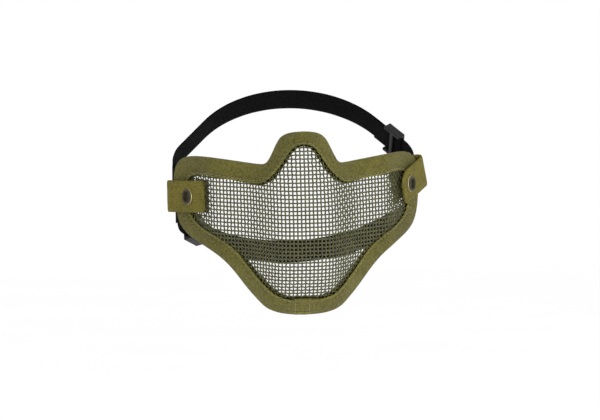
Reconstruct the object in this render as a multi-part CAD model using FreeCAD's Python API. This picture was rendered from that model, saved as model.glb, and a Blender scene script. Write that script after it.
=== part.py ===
"""Steel-mesh lower-face mask with a bound edge, press-stud tabs and two elastic head straps.

Millimetres. The wearer looks along -Y, +X is the wearer's left, +Z is up. The origin is the
middle of the face opening: on the median plane, level with the strap tabs, at the rear edge
of the mask's wings.
"""
import FreeCAD, Part
import math
import os

Vec = FreeCAD.Vector

# ---- mask shell ----
DEPTH = 84.0                 # front of the muzzle to the rear edge of the wings
CHIN_DROP = 88.0             # origin's height above the bottom of the chin
# Plan of the muzzle, cheeks and wings: slope change, at |x|, roundness
KNEES = ((1.35, 21.0, 4.5), (-0.75, 40.0, 4.0), (0.91, 68.0, 1.4))
CHIN_SWEEP, CHIN_START = 32.0, 60.0      # how far the chin runs back, and from what height down
NOSE_LEAN, NOSE_START, NOSE_RISE = 10.0, 95.0, 44.0
NOSE_WRAP, NOSE_HALF_WIDTH = 11.0, 13.0  # extra wrap beside the nose ridge
WRAP_FROM, WRAP_FULL = 72.0, 118.0       # heights over which that wrap grows
WRAP_FADE = (24.0, 70.0)                 # |x| over which that wrap fades out
WIRE_CLOTH = 1.0             # thickness of the woven wire, crest to crest

# Half of the rim, from the chin to the nose: outer edge x, z, inner edge x, z (z from the chin)
RIM = (
    (0.0, 0.0, 0.0, 13.5), (14.0, 1.0, 12.0, 14.0), (26.0, 4.5, 21.0, 16.5),
    (34.0, 11.5, 27.5, 21.0), (43.0, 22.0, 34.5, 29.0), (53.0, 35.0, 42.0, 38.5),
    (64.0, 46.0, 51.0, 49.5), (76.0, 54.5, 63.5, 59.0), (86.5, 62.5, 75.0, 67.0),
    (92.5, 73.0, 82.5, 76.0), (95.0, 87.0, 85.0, 87.0), (95.5, 101.0, 85.5, 98.0),
    (94.0, 113.0, 84.0, 105.0), (88.0, 120.0, 79.0, 107.5), (76.0, 120.8, 70.0, 106.8),
    (60.0, 118.5, 57.0, 104.0), (45.0, 116.0, 45.0, 101.8), (34.0, 114.3, 36.0, 100.3),
    (28.0, 114.8, 29.5, 100.8), (24.0, 119.5, 23.0, 105.5), (20.0, 127.5, 17.0, 112.5),
    (15.5, 134.5, 11.5, 120.0), (8.5, 138.0, 6.0, 126.0), (0.0, 138.8, 0.0, 127.8),
)
SLAB_GRID = (60, 30)
RIM_SECTIONS = 34            # cross-sections lofted along half of the rim

# ---- edge trim: a folded tape over a foam liner ----
TAPE_OUT, TAPE_IN = 2.9, 2.1             # the tape's faces, from the middle of the mesh
FOAM_OUT, FOAM_IN = 1.75, 0.95
ACROSS = 3                               # flats across the tape's width
TAPE_FOLD = 1.6                          # the fold stands this far outside the rim
FOAM_FROM, FOAM_TO = 0.11, 0.93          # the foam's reach across the tape's width
MESH_FROM = 0.21                         # the mesh ends at this share of the tape's width
TAPE_LEAF = 14.0                               # usual width of a leaf of the tape
LAP_FROM, LAP_TO = -9.0, 5.0                   # X of the overlapped end at the chin
LAP_LIFT, LAP_THICK = 0.35, 1.15

# ---- strap tabs (25 mm webbing) and press studs ----
WEB_WIDTH, WEB_THICK = 25.0, 1.4
WING_EDGE = 95.5
FRONT_LEG = {"left": 47.0, "right": 40.0}
REAR_LEG = 36.0
TAB_HEIGHT = {"left": 3.0, "right": 18.0}      # middle of the fold, above the origin
TAB_TILT = {"left": 0.0, "right": 20.0}        # degrees, the free end down
FOLD_STANDOFF = {"left": 0.5, "right": 1.0}    # fold centre outside the wing's edge
FLAP_LEVEL, BASE_LEVEL = 6.6, -4.4             # mid-thickness of the two legs
HINGE_GAP = 1.6
STUD_REACH = 26.0                              # fold centre to press stud
CAP_R, CAP_THICK = 6.4, 1.5
POST_R, POST_FLANGE_R, POST_FLANGE = 1.8, 6.0, 0.8
STUD_R, STUD_KNOB_R, STUD_FROM, STUD_TOP = 5.8, 3.1, 3.1, 5.4
SOCKET_R, SOCKET_BORE_R, SOCKET_FROM = 6.1, 3.4, 4.1
RIVET_R = 2.2

# ---- head straps (20 mm elastic) ----
STRAP_WIDTH, STRAP_THICK = 20.0, 1.4
TAIL_THICK = 1.2
STRAP_TILT = {"upper": 42.0, "lower": -26.0}   # degrees above the horizontal, going back
STRAP_START = {"upper": 20.0, "lower": 16.5}   # front end of the strap, along its own slope
STRAP_LEAD = {"upper": 15.0, "lower": 13.0}   # straight run on the anchor
STRAP_TURN, STRAP_TURN_R, STRAP_RUN = 36.0, 30.0, 36.0
TAIL_FROM, TAIL_END = 3.0, 34.0                # the loose tail's reach along the second run

# ---- strap anchors: webbing yokes sewn behind the tabs ----
ANCHOR_X, ANCHOR_THICK, ANCHOR_BACK = 95.4, 1.4, 19.0
ANCHOR_REACH = 16.0                            # how far it runs forward under the tab
ANCHOR_FRONT = {"left": (-9.0, 15.0), "right": (2.0, 26.0)}   # bottom and top, at the tab
ANCHOR_REAR = (-20.0, 34.0)                    # bottom and top, at the straps
STRAP_CLEARANCE = 0.1

# ---- sliders ----
SLIDER_LENGTH, SLIDER_RAIL, SLIDER_BAR, SLIDER_THICK = 18.0, 2.6, 3.4, 1.8
SLIDER_GAP = 0.35
SLIDER_AT = {"upper": 12.0, "lower": 11.0}     # along the second run
SLIDER_SIDE = {"upper": 1.0, "lower": -1.0}

Z_LOW, Z_HIGH = -8.0, 146.0


def soft_step(t, roundness):
    """Zero before t = 0 and a slope of one after it, with a rounded corner."""
    if t / roundness > 40.0:
        return t
    return roundness * math.log(1.0 + math.exp(t / roundness))


def smooth(t):
    """Eased step from 0 to 1."""
    t = min(1.0, max(0.0, t))
    return t * t * (3.0 - 2.0 * t)


def surface_y(x, z):
    """Y of the middle of the wire mesh, at x and at height z above the chin."""
    across = abs(x)
    back = sum(slope * soft_step(across - at, soft) for slope, at, soft in KNEES)
    back += CHIN_SWEEP * (max(0.0, CHIN_START - z) / CHIN_START) ** 2
    lift = max(0.0, z - NOSE_START) / NOSE_RISE
    keep = 1.0 - smooth((across - WRAP_FADE[0]) / (WRAP_FADE[1] - WRAP_FADE[0]))
    back += NOSE_LEAN * lift ** 2 * keep
    wrap = NOSE_WRAP * smooth((z - WRAP_FROM) / (WRAP_FULL - WRAP_FROM))
    back += wrap * (1.0 - math.exp(-(x / NOSE_HALF_WIDTH) ** 2)) * keep
    return back - DEPTH


def surface_point(x, z, offset=0.0):
    """Point on the mesh's mid-surface, or offset along its outward normal."""
    step = 0.05
    dx = (surface_y(x + step, z) - surface_y(x - step, z)) / (2 * step)
    dz = (surface_y(x, z + step) - surface_y(x, z - step)) / (2 * step)
    normal = Vec(dx, -1.0, dz).normalize()
    return Vec(x, surface_y(x, z), z - CHIN_DROP) + normal * offset


def rim_curves():
    """Outer and inner edge of half the rim, as curves over the same stations."""
    stations = [float(index) for index in range(len(RIM))]
    curves = []
    for column in (0, 2):
        curve = Part.BSplineCurve()
        points = [Vec(row[column], 0, row[column + 1]) for row in RIM]
        curve.interpolate(Points=points, Parameters=stations)
        curves.append(curve)
    return curves


OUTER, INNER = rim_curves()


def rim_point(station, share, offset):
    """Point across the tape: share 0 is the rim and 1 the tape's inner edge."""
    a = OUTER.value(station)
    b = INNER.value(station)
    x = a.x + (b.x - a.x) * share
    if station in (0.0, float(len(RIM) - 1)):
        x = 0.0
    return surface_point(x, a.z + (b.z - a.z) * share, offset)


def channel_section(station, first, last, out, inside, fold):
    """Section of a U channel that opens towards the middle of the mask."""
    shares = [first + (last - first) * k / ACROSS for k in range(ACROSS + 1)]
    floor = first + (out - inside) / TAPE_LEAF
    inner_shares = [last - (last - floor) * k / ACROSS for k in range(ACROSS + 1)]
    front = [rim_point(station, s, out) for s in shares]
    front_in = [rim_point(station, s, inside) for s in inner_shares]
    rear_in = [rim_point(station, s, -inside) for s in reversed(inner_shares)]
    rear = [rim_point(station, s, -out) for s in reversed(shares)]
    edge = rim_point(station, first, 0)
    inward = (rim_point(station, first + 0.3, 0) - edge).normalize()
    return front + front_in + rear_in + rear + [edge - inward * fold]


def closed_wire(points):
    return Part.makePolygon(list(points) + [points[0]])


def rim_channel(first, last, out, inside, fold):
    """U channel all the way round the rim, as one closed solid."""
    end = float(len(RIM) - 1)
    stations = [end * k / RIM_SECTIONS for k in range(RIM_SECTIONS + 1)]
    wires = [closed_wire(channel_section(s, first, last, out, inside, fold)) for s in stations]
    half = Part.makeLoft(wires, True, False)
    other = half.mirror(Vec(0, 0, 0), Vec(1, 0, 0))
    whole = half.fuse(other)
    return whole.Solids[0] if len(whole.Solids) == 1 else whole


def slab(front, rear, half_width, low, high):
    """Closed solid between two offsets of the mesh's mid-surface."""
    columns, rows = SLAB_GRID
    faces = []
    for offset in (front, rear):
        grid = []
        for i in range(columns + 1):
            x = half_width * (2.0 * i / columns - 1.0)
            grid.append([surface_point(x, low + (high - low) * j / rows, offset) for j in range(rows + 1)])
        surface = Part.BSplineSurface()
        surface.interpolate(grid)
        faces.append(surface.toShape())
    sides = [Part.makeRuledSurface(a, b) for a, b in zip(faces[0].Edges, faces[1].Edges)]
    shell = Part.makeShell(faces + sides)
    shell.sewShape()
    solid = Part.Solid(shell)
    if solid.Volume < 0:
        solid.reverse()
    return solid


def rim_prism(share):
    """Prism along Y whose outline runs at this share of the tape's width."""
    end = float(len(RIM) - 1)
    count = 4 * (len(RIM) - 1)
    half = []
    for k in range(count + 1):
        a = OUTER.value(end * k / count)
        b = INNER.value(end * k / count)
        half.append(Vec(a.x + (b.x - a.x) * share, 0, a.z + (b.z - a.z) * share - CHIN_DROP))
    half[0].x = 0.0
    half[-1].x = 0.0
    edges = []
    for sign in (1.0, -1.0):
        curve = Part.BSplineCurve()
        curve.interpolate([Vec(p.x * sign, -DEPTH - 30, p.z) for p in half])
        edges.append(curve.toShape())
    face = Part.Face(Part.Wire(Part.__sortEdges__(edges)))
    return face.extrude(Vec(0, 2 * DEPTH + 60, 0))


def tab_frame(side):
    """Placement of a tab: local x runs in from the fold, y up, z out of the wing."""
    slope = sum(knee[0] for knee in KNEES)
    inward = Vec(-1.0, -slope, 0).normalize()
    outward = Vec(slope, -1.0, 0).normalize()
    tilt = math.radians(TAB_TILT[side])
    along = inward * math.cos(tilt) - Vec(0, 0, 1) * math.sin(tilt)
    upward = outward.cross(along)
    edge = surface_point(WING_EDGE, TAB_HEIGHT[side] + CHIN_DROP)
    origin = edge - inward * FOLD_STANDOFF[side]
    return origin, along, upward, outward


def place_tab(shape, side):
    """Move a piece from the tab's own frame onto its wing."""
    origin, along, upward, outward = tab_frame(side)
    matrix = FreeCAD.Matrix(
        along.x, upward.x, outward.x, origin.x,
        along.y, upward.y, outward.y, origin.y,
        along.z, upward.z, outward.z, origin.z,
        0, 0, 0, 1)
    placed = shape.copy()
    placed.Placement = FreeCAD.Placement(matrix)
    if side == "left":
        placed = placed.mirror(Vec(0, 0, 0), Vec(1, 0, 0))
    return placed


def disc(radius, low, high, x=STUD_REACH):
    return Part.makeCylinder(radius, high - low, Vec(x, 0, low), Vec(0, 0, 1))


def tab_flap(side):
    """Outer leg of the webbing, which opens with the cap and socket on it."""
    length = FRONT_LEG[side]
    half = WEB_WIDTH / 2
    low = FLAP_LEVEL - WEB_THICK / 2
    outline = [Vec(0.2, -half, low), Vec(length - 6, -half, low), Vec(length, -half + 5, low),
               Vec(length, half - 5, low), Vec(length - 6, half, low), Vec(0.2, half, low)]
    leg = Part.Face(closed_wire(outline)).extrude(Vec(0, 0, WEB_THICK))
    return leg.cut(disc(RIVET_R, low - 1, low + WEB_THICK + 1))


def tab_base(side):
    """Inner leg and fold of the webbing, round the rear edge of the wing."""
    middle = (FLAP_LEVEL + BASE_LEVEL) / 2
    outer = (FLAP_LEVEL - BASE_LEVEL + WEB_THICK) / 2
    inner = outer - WEB_THICK
    half = WEB_WIDTH / 2
    ring = Part.makeCylinder(outer, WEB_WIDTH, Vec(0, half, middle), Vec(0, -1, 0))
    ring = ring.cut(Part.makeCylinder(inner, WEB_WIDTH, Vec(0, half, middle), Vec(0, -1, 0)))
    behind = Part.makeBox(outer + 1, WEB_WIDTH, 2 * outer + 2, Vec(-outer - 1, -half, middle - outer - 1))
    fold = ring.common(behind)
    clear = Part.makeBox(HINGE_GAP + 1, WEB_WIDTH, WEB_THICK + 2,
                         Vec(-HINGE_GAP, -half, FLAP_LEVEL - WEB_THICK / 2 - 1))
    leg = Part.makeBox(REAR_LEG, WEB_WIDTH, WEB_THICK, Vec(0, -half, BASE_LEVEL - WEB_THICK / 2))
    leg = leg.cut(disc(POST_R + 0.1, BASE_LEVEL - 2, BASE_LEVEL + 2))
    return fold.cut(clear).fuse(leg).removeSplitter()


def snap_post():
    """Flanged rivet that comes through the inner leg and the mesh."""
    low = BASE_LEVEL - WEB_THICK / 2
    return disc(POST_FLANGE_R, low - POST_FLANGE, low).fuse(disc(POST_R, low, STUD_TOP - 0.8))


def snap_stud():
    """Male half of the press stud, on the front of the wing."""
    knob = disc(STUD_KNOB_R, STUD_FROM + 0.7, STUD_TOP)
    body = disc(STUD_R, STUD_FROM, STUD_FROM + 0.7).fuse(knob)
    return body.cut(disc(POST_R, STUD_FROM - 1, STUD_TOP - 0.8))


def snap_socket():
    """Female half, under the flap: a ring that takes the knob."""
    top = FLAP_LEVEL - WEB_THICK / 2
    return disc(SOCKET_R, SOCKET_FROM, top).cut(disc(SOCKET_BORE_R, SOCKET_FROM - 1, top - 0.3))


def snap_cap():
    """Domed cap with its rivet through the webbing."""
    low = FLAP_LEVEL + WEB_THICK / 2
    dome = disc(CAP_R, low, low + CAP_THICK)
    rim = [edge for edge in dome.Edges if abs(edge.BoundBox.ZMin - low - CAP_THICK) < 1e-6
           and edge.BoundBox.ZLength < 1e-6]
    dome = dome.makeFillet(CAP_THICK * 0.7, rim)
    return dome.fuse(disc(RIVET_R, low - WEB_THICK, low)).removeSplitter()


def strap_path(kind):
    """Strap's centre line in its own plane, from its front end to the median plane."""
    step_out = (ANCHOR_THICK + STRAP_THICK) / 2 + STRAP_CLEARANCE
    x = ANCHOR_X + (step_out if kind == "upper" else -step_out)
    turn = math.radians(STRAP_TURN)
    a = Vec(x, STRAP_START[kind], 0)
    b = a + Vec(0, STRAP_LEAD[kind], 0)
    centre = Vec(x - STRAP_TURN_R, b.y, 0)
    c = centre + Vec(math.cos(turn), math.sin(turn), 0) * STRAP_TURN_R
    heading = Vec(-math.sin(turn), math.cos(turn), 0)
    d = c + heading * STRAP_RUN
    head_r = d.x / math.cos(turn)
    hub = Vec(0, d.y - head_r * math.sin(turn), 0)
    return {"line": (a, b), "turn": centre, "run": (c, d, heading), "head": (hub, head_r)}


def arc_at(hub, radius, start, end):
    """Arc about a hub, from one angle to another, in radians."""
    points = [hub + Vec(math.cos(t), math.sin(t), 0) * radius
              for t in (start, (start + end) / 2, end)]
    return Part.Arc(*points).toShape()


def band_edges(kind, offset):
    """One face of half a strap, offset outwards from its centre line."""
    path = strap_path(kind)
    turn = math.radians(STRAP_TURN)
    shift = Vec(offset, 0, 0)
    a, b = path["line"]
    c, d, heading = path["run"]
    side = Vec(heading.y, -heading.x, 0) * offset
    hub, radius = path["head"]
    return [Part.LineSegment(a + shift, b + shift).toShape(),
            arc_at(path["turn"], STRAP_TURN_R + offset, 0, turn),
            Part.LineSegment(c + side, d + side).toShape(),
            arc_at(hub, radius + offset, turn, math.pi / 2)]


def half_strap(kind):
    """Half of a strap, in its flat plane."""
    near = band_edges(kind, -STRAP_THICK / 2)
    far = band_edges(kind, STRAP_THICK / 2)
    ends = [Part.LineSegment(near[0].Vertexes[0].Point, far[0].Vertexes[0].Point).toShape(),
            Part.LineSegment(near[-1].Vertexes[-1].Point, far[-1].Vertexes[-1].Point).toShape()]
    wire = Part.Wire(Part.__sortEdges__(near + far + ends))
    solid = Part.Face(wire).extrude(Vec(0, 0, STRAP_WIDTH))
    solid.translate(Vec(0, 0, -STRAP_WIDTH / 2))
    return solid


def tilt_strap(shape, kind):
    """Turn a piece from the strap's flat plane to its real slope."""
    turned = shape.copy()
    turned.rotate(Vec(0, 0, 0), Vec(1, 0, 0), STRAP_TILT[kind])
    return turned


def strap(kind):
    half = half_strap(kind)
    whole = half.fuse(half.mirror(Vec(0, 0, 0), Vec(1, 0, 0))).removeSplitter()
    return tilt_strap(whole, kind)


def strap_tail(kind):
    """Loose end of the webbing, doubled back inside the strap through the slider."""
    start = strap_path(kind)["run"][0]
    tail = Part.makeBox(TAIL_THICK, TAIL_END - TAIL_FROM, STRAP_WIDTH,
                        Vec(-STRAP_THICK / 2 - TAIL_THICK, TAIL_FROM, -STRAP_WIDTH / 2))
    tail.rotate(Vec(0, 0, 0), Vec(0, 0, 1), STRAP_TURN)
    tail.translate(start)
    if SLIDER_SIDE[kind] < 0:
        tail = tail.mirror(Vec(0, 0, 0), Vec(1, 0, 0))
    return tilt_strap(tail, kind)


def slider(kind):
    """Three-bar slide: two bars outside the webbing and one inside, joined by rails."""
    start, _, heading = strap_path(kind)["run"]
    centre = start + heading * SLIDER_AT[kind]
    inner_face = -STRAP_THICK / 2 - TAIL_THICK - SLIDER_GAP
    outer_face = STRAP_THICK / 2 + SLIDER_GAP
    half_length = SLIDER_LENGTH / 2
    half_width = STRAP_WIDTH / 2 + SLIDER_GAP
    bar = half_width * 2 + 2 * SLIDER_RAIL
    pieces = []
    for start in (-half_length, half_length - SLIDER_BAR):
        pieces.append(Part.makeBox(SLIDER_THICK, SLIDER_BAR, bar, Vec(outer_face, start, -bar / 2)))
    pieces.append(Part.makeBox(SLIDER_THICK, SLIDER_BAR, bar,
                               Vec(inner_face - SLIDER_THICK, -SLIDER_BAR / 2, -bar / 2)))
    depth = outer_face - inner_face + 2 * SLIDER_THICK
    for sign in (-1, 1):
        low = half_width if sign > 0 else -half_width - SLIDER_RAIL
        pieces.append(Part.makeBox(depth, SLIDER_LENGTH, SLIDER_RAIL,
                                   Vec(inner_face - SLIDER_THICK, -half_length, low)))
    frame = pieces[0].multiFuse(pieces[1:]).removeSplitter()
    frame.rotate(Vec(0, 0, 0), Vec(0, 0, 1), STRAP_TURN)
    frame.translate(centre)
    if SLIDER_SIDE[kind] < 0:
        frame = frame.mirror(Vec(0, 0, 0), Vec(1, 0, 0))
    return tilt_strap(frame, kind)


def strap_anchor(side):
    """Yoke of webbing sewn behind the tab's inner leg; both straps are sewn to it."""
    slope = sum(knee[0] for knee in KNEES)
    inward = Vec(-1.0, -slope, 0).normalize()
    outward = Vec(slope, -1.0, 0).normalize()
    edge = surface_point(WING_EDGE, CHIN_DROP)
    level = BASE_LEVEL - WEB_THICK / 2 - STRAP_CLEARANCE
    plan = []
    for depth in (0.0, ANCHOR_THICK):
        start = edge + inward * ANCHOR_REACH + outward * (level - depth)
        x = ANCHOR_X + ANCHOR_THICK / 2 - depth
        corner = start + inward * ((x - start.x) / inward.x)
        face = [start, corner, Vec(x, ANCHOR_BACK, 0)]
        plan += face if depth == 0.0 else face[::-1]
    plate = Part.Face(closed_wire([Vec(p.x, p.y, -60) for p in plan])).extrude(Vec(0, 0, 120))
    low, high = ANCHOR_FRONT[side]
    front = min(p.y for p in plan) - 1
    outline = [Vec(60, front, low), Vec(60, 0, low), Vec(60, ANCHOR_BACK + 1, ANCHOR_REAR[0]),
               Vec(60, ANCHOR_BACK + 1, ANCHOR_REAR[1]), Vec(60, 0, high), Vec(60, front, high)]
    yoke = plate.common(Part.Face(closed_wire(outline)).extrude(Vec(60, 0, 0)))
    return yoke.mirror(Vec(0, 0, 0), Vec(1, 0, 0)) if side == "left" else yoke


def binding_lap():
    """Overlapped end of the tape at the middle of the chin."""
    ring_out = slab(TAPE_OUT + LAP_THICK, TAPE_OUT + LAP_LIFT, 16.0, -4.0, 24.0)
    block = Part.makeBox(LAP_TO - LAP_FROM, 60.0, 12.6, Vec(LAP_FROM, -DEPTH - 5, 0.6 - CHIN_DROP))
    return ring_out.common(block)


def stud_holes():
    """Clearance for the two rivets through the wire mesh."""
    return [place_tab(disc(POST_R + 0.3, -8, 8), side) for side in ("left", "right")]


def build():
    """Every piece of the mask, by node name."""
    prism = rim_prism(MESH_FROM)
    sheet = slab(WIRE_CLOTH / 2, -WIRE_CLOTH / 2, WING_EDGE + 6, Z_LOW, Z_HIGH)
    panel = sheet.common(prism)
    for hole in stud_holes():
        panel = panel.cut(hole)
    parts = {
        "mesh_panel": panel,
        "edge_foam": rim_channel(FOAM_FROM, FOAM_TO, FOAM_OUT, FOAM_IN, 0.3),
        "edge_binding": rim_channel(0.0, 1.0, TAPE_OUT, TAPE_IN, TAPE_FOLD),
        "binding_lap": binding_lap(),
    }
    for side in ("left", "right"):
        parts[side + "_tab_base"] = place_tab(tab_base(side), side)
        parts[side + "_tab_flap"] = place_tab(tab_flap(side), side)
        parts[side + "_snap_cap"] = place_tab(snap_cap(), side)
        parts[side + "_snap_socket"] = place_tab(snap_socket(), side)
        parts[side + "_snap_stud"] = place_tab(snap_stud(), side)
        parts[side + "_snap_post"] = place_tab(snap_post(), side)
        parts[side + "_strap_anchor"] = strap_anchor(side)
    for kind in ("upper", "lower"):
        parts[kind + "_strap"] = strap(kind)
        parts[kind + "_strap_tail"] = strap_tail(kind)
        parts[kind + "_slider"] = slider(kind)
    return parts


os.makedirs("parts", exist_ok=True)
for name, shape in build().items():
    shape.exportStep(os.path.join("parts", name + ".step"))
    box = shape.BoundBox
    print(f"{name:20s} solids {len(shape.Solids)} valid {shape.isValid()} volume {shape.Volume:9.1f} "
          f"x {box.XMin:7.1f}..{box.XMax:6.1f} y {box.YMin:7.1f}..{box.YMax:6.1f} "
          f"z {box.ZMin:7.1f}..{box.ZMax:6.1f}")
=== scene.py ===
import math
import random

import bmesh
import bpy
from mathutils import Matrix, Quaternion, Vector, noise


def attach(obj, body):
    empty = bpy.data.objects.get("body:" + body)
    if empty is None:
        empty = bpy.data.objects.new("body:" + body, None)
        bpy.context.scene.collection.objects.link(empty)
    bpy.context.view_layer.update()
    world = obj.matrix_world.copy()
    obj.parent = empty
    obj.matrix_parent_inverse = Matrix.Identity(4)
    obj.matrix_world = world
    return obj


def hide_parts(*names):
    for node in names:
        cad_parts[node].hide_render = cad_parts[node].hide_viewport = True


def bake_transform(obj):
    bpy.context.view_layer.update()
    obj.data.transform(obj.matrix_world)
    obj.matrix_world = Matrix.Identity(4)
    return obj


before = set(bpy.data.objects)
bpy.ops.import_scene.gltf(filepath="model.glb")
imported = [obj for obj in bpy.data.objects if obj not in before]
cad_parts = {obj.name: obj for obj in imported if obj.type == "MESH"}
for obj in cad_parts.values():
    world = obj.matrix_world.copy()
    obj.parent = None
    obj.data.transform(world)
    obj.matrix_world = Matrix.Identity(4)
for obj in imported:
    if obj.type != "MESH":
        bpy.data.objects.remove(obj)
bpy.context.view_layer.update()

random.seed(7)
MM = 0.001                   # metres in a millimetre
EXP_LIMIT = 40.0             # a rounded knee is over this many roundings past its corner
MERGE_DISTANCE = 1e-6        # metres, below which two vertices are one

# ---- the mask's shape, in millimetres as the CAD model has it ----
DEPTH, CHIN_DROP = 84.0, 88.0               # front to rear edge; the origin's height above the chin
KNEES = ((1.35, 21.0, 4.5), (-0.75, 40.0, 4.0), (0.91, 68.0, 1.4))      # slope gained, |x|, roundness
CHIN_SWEEP, CHIN_START = 32.0, 60.0         # how far the chin runs back, and from what height down
NOSE_LEAN, NOSE_START, NOSE_RISE = 10.0, 95.0, 44.0
NOSE_WRAP, NOSE_HALF_WIDTH = 11.0, 13.0     # extra wrap beside the nose ridge
WRAP_FROM, WRAP_FULL = 72.0, 118.0          # heights over which that wrap grows
WRAP_FADE = (24.0, 70.0)                    # |x| over which that wrap fades out
RIM = (                      # half the tape, chin to nose: outer x and z, then inner x and z
    (0.0, 0.0, 0.0, 13.5), (14.0, 1.0, 12.0, 14.0), (26.0, 4.5, 21.0, 16.5),
    (34.0, 11.5, 27.5, 21.0), (43.0, 22.0, 34.5, 29.0), (53.0, 35.0, 42.0, 38.5),
    (64.0, 46.0, 51.0, 49.5), (76.0, 54.5, 63.5, 59.0), (86.5, 62.5, 75.0, 67.0),
    (92.5, 73.0, 82.5, 76.0), (95.0, 87.0, 85.0, 87.0), (95.5, 101.0, 85.5, 98.0),
    (94.0, 113.0, 84.0, 105.0), (88.0, 120.0, 79.0, 107.5), (76.0, 120.8, 70.0, 106.8),
    (60.0, 118.5, 57.0, 104.0), (45.0, 116.0, 45.0, 101.8), (34.0, 114.3, 36.0, 100.3),
    (28.0, 114.8, 29.5, 100.8), (24.0, 119.5, 23.0, 105.5), (20.0, 127.5, 17.0, 112.5),
    (15.5, 134.5, 11.5, 120.0), (8.5, 138.0, 6.0, 126.0), (0.0, 138.8, 0.0, 127.8),
)
WING_EDGE = 95.5
STRAP_TILT = {"upper": 42.0, "lower": -26.0}


def soft_step(t, roundness):
    """Zero before a corner and t after it, with the corner rounded."""
    return t if t / roundness > EXP_LIMIT else roundness * math.log(1.0 + math.exp(t / roundness))


def smooth(t):
    """Smooth rise from 0 at t = 0 to 1 at t = 1."""
    t = min(1.0, max(0.0, t))
    return t * t * (3.0 - 2.0 * t)


def surface_y(x, z):
    """Y of the middle of the wire mesh at x and at height z above the chin, in mm."""
    across = abs(x)
    back = sum(slope * soft_step(across - at, soft) for slope, at, soft in KNEES)
    back += CHIN_SWEEP * (max(0.0, CHIN_START - z) / CHIN_START) ** 2
    keep = 1.0 - smooth((across - WRAP_FADE[0]) / (WRAP_FADE[1] - WRAP_FADE[0]))
    back += NOSE_LEAN * (max(0.0, z - NOSE_START) / NOSE_RISE) ** 2 * keep
    wrap = NOSE_WRAP * smooth((z - WRAP_FROM) / (WRAP_FULL - WRAP_FROM))
    back += wrap * (1.0 - math.exp(-(x / NOSE_HALF_WIDTH) ** 2)) * keep
    return back - DEPTH


def normal_at(x, z):
    """Outward normal of the mesh at x and at height z above the chin."""
    step = 0.05
    dx = (surface_y(x + step, z) - surface_y(x - step, z)) / (2 * step)
    dz = (surface_y(x, z + step) - surface_y(x, z - step)) / (2 * step)
    return Vector((dx, -1.0, dz)).normalized()


def surface_point(x, z, offset=0.0):
    """Point on the mesh's mid-surface, or offset along its outward normal, in metres."""
    return (Vector((x, surface_y(x, z), z - CHIN_DROP)) + normal_at(x, z) * offset) * MM


def spline(values):
    """Cubic curve through evenly spaced values, level at both ends of the half rim."""
    count = len(values)
    upper = [0.0] * count
    rhs = [0.0] * count
    for i in range(1, count - 1):
        step = 4.0 - upper[i - 1]
        upper[i] = 1.0 / step
        rhs[i] = (6.0 * (values[i + 1] - 2 * values[i] + values[i - 1]) - rhs[i - 1]) / step
    bend = [0.0] * count
    for i in range(count - 2, 0, -1):
        bend[i] = rhs[i] - upper[i] * bend[i + 1]

    def at(t):
        i = min(count - 2, max(0, int(t)))
        f = t - i
        g = 1.0 - f
        return (g * values[i] + f * values[i + 1]
                + ((g ** 3 - g) * bend[i] + (f ** 3 - f) * bend[i + 1]) / 6.0)
    return at


RIM_CURVES = [spline([row[k] for row in RIM]) for k in range(4)]
RIM_END = float(len(RIM) - 1)


def rim_flat(s, share):
    """Flat x, z across the tape; s runs 0 to 2 round the whole rim from the chin."""
    right = s <= 1.0
    t = RIM_END * (s if right else 2.0 - s)
    ox, oz, ix, iz = (curve(t) for curve in RIM_CURVES)
    x = ox + (ix - ox) * share
    return (x if right else -x), oz + (iz - oz) * share


def rim_point(s, share, offset):
    """Point of the tape at rim position s, at a share of its width and an offset in mm."""
    x, z = rim_flat(s, share)
    return surface_point(x, z, offset)


def even_stations(share, count):
    """Values of s evenly spaced along the rim at a share of the tape's width, and its length."""
    fine = 1600
    points = [rim_point(2.0 * k / fine, share, 0.0) for k in range(fine + 1)]
    travelled = [0.0]
    for a, b in zip(points, points[1:]):
        travelled.append(travelled[-1] + (b - a).length)
    total = travelled[-1]
    result, k = [], 0
    for j in range(count):
        goal = total * j / count
        while travelled[k + 1] < goal:
            k += 1
        part = (goal - travelled[k]) / (travelled[k + 1] - travelled[k])
        result.append(2.0 * (k + part) / fine)
    return result, total / MM


# ---- camera ----
CAMERA_AZIMUTH, CAMERA_ELEVATION, CAMERA_ROLL = -4.5, 2.0, -1.2     # degrees
CAMERA_TARGET = Vector((0.0024, 0.0, -0.0105))
CAMERA_DISTANCE, VIEW_WIDTH = 2.0, 0.4775                           # metres
SENSOR_WIDTH = 36.0                                                 # mm


def add_camera():
    """Nearly head-on, slightly from the left and above, and rolled by about a degree."""
    azimuth, elevation = math.radians(CAMERA_AZIMUTH), math.radians(CAMERA_ELEVATION)
    back = Vector((math.sin(azimuth) * math.cos(elevation),
                   -math.cos(azimuth) * math.cos(elevation), math.sin(elevation)))
    data = bpy.data.cameras.new("camera")
    data.sensor_width = SENSOR_WIDTH
    data.lens = SENSOR_WIDTH * CAMERA_DISTANCE / VIEW_WIDTH
    camera = bpy.data.objects.new("camera", data)
    camera.location = CAMERA_TARGET + back * CAMERA_DISTANCE
    roll = Quaternion((0.0, 0.0, 1.0), math.radians(CAMERA_ROLL))
    camera.rotation_euler = (back.to_track_quat("Z", "Y") @ roll).to_euler()
    bpy.context.scene.collection.objects.link(camera)
    bpy.context.scene.camera = camera
    bpy.context.scene.view_settings.view_transform = "Standard"


add_camera()


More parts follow.
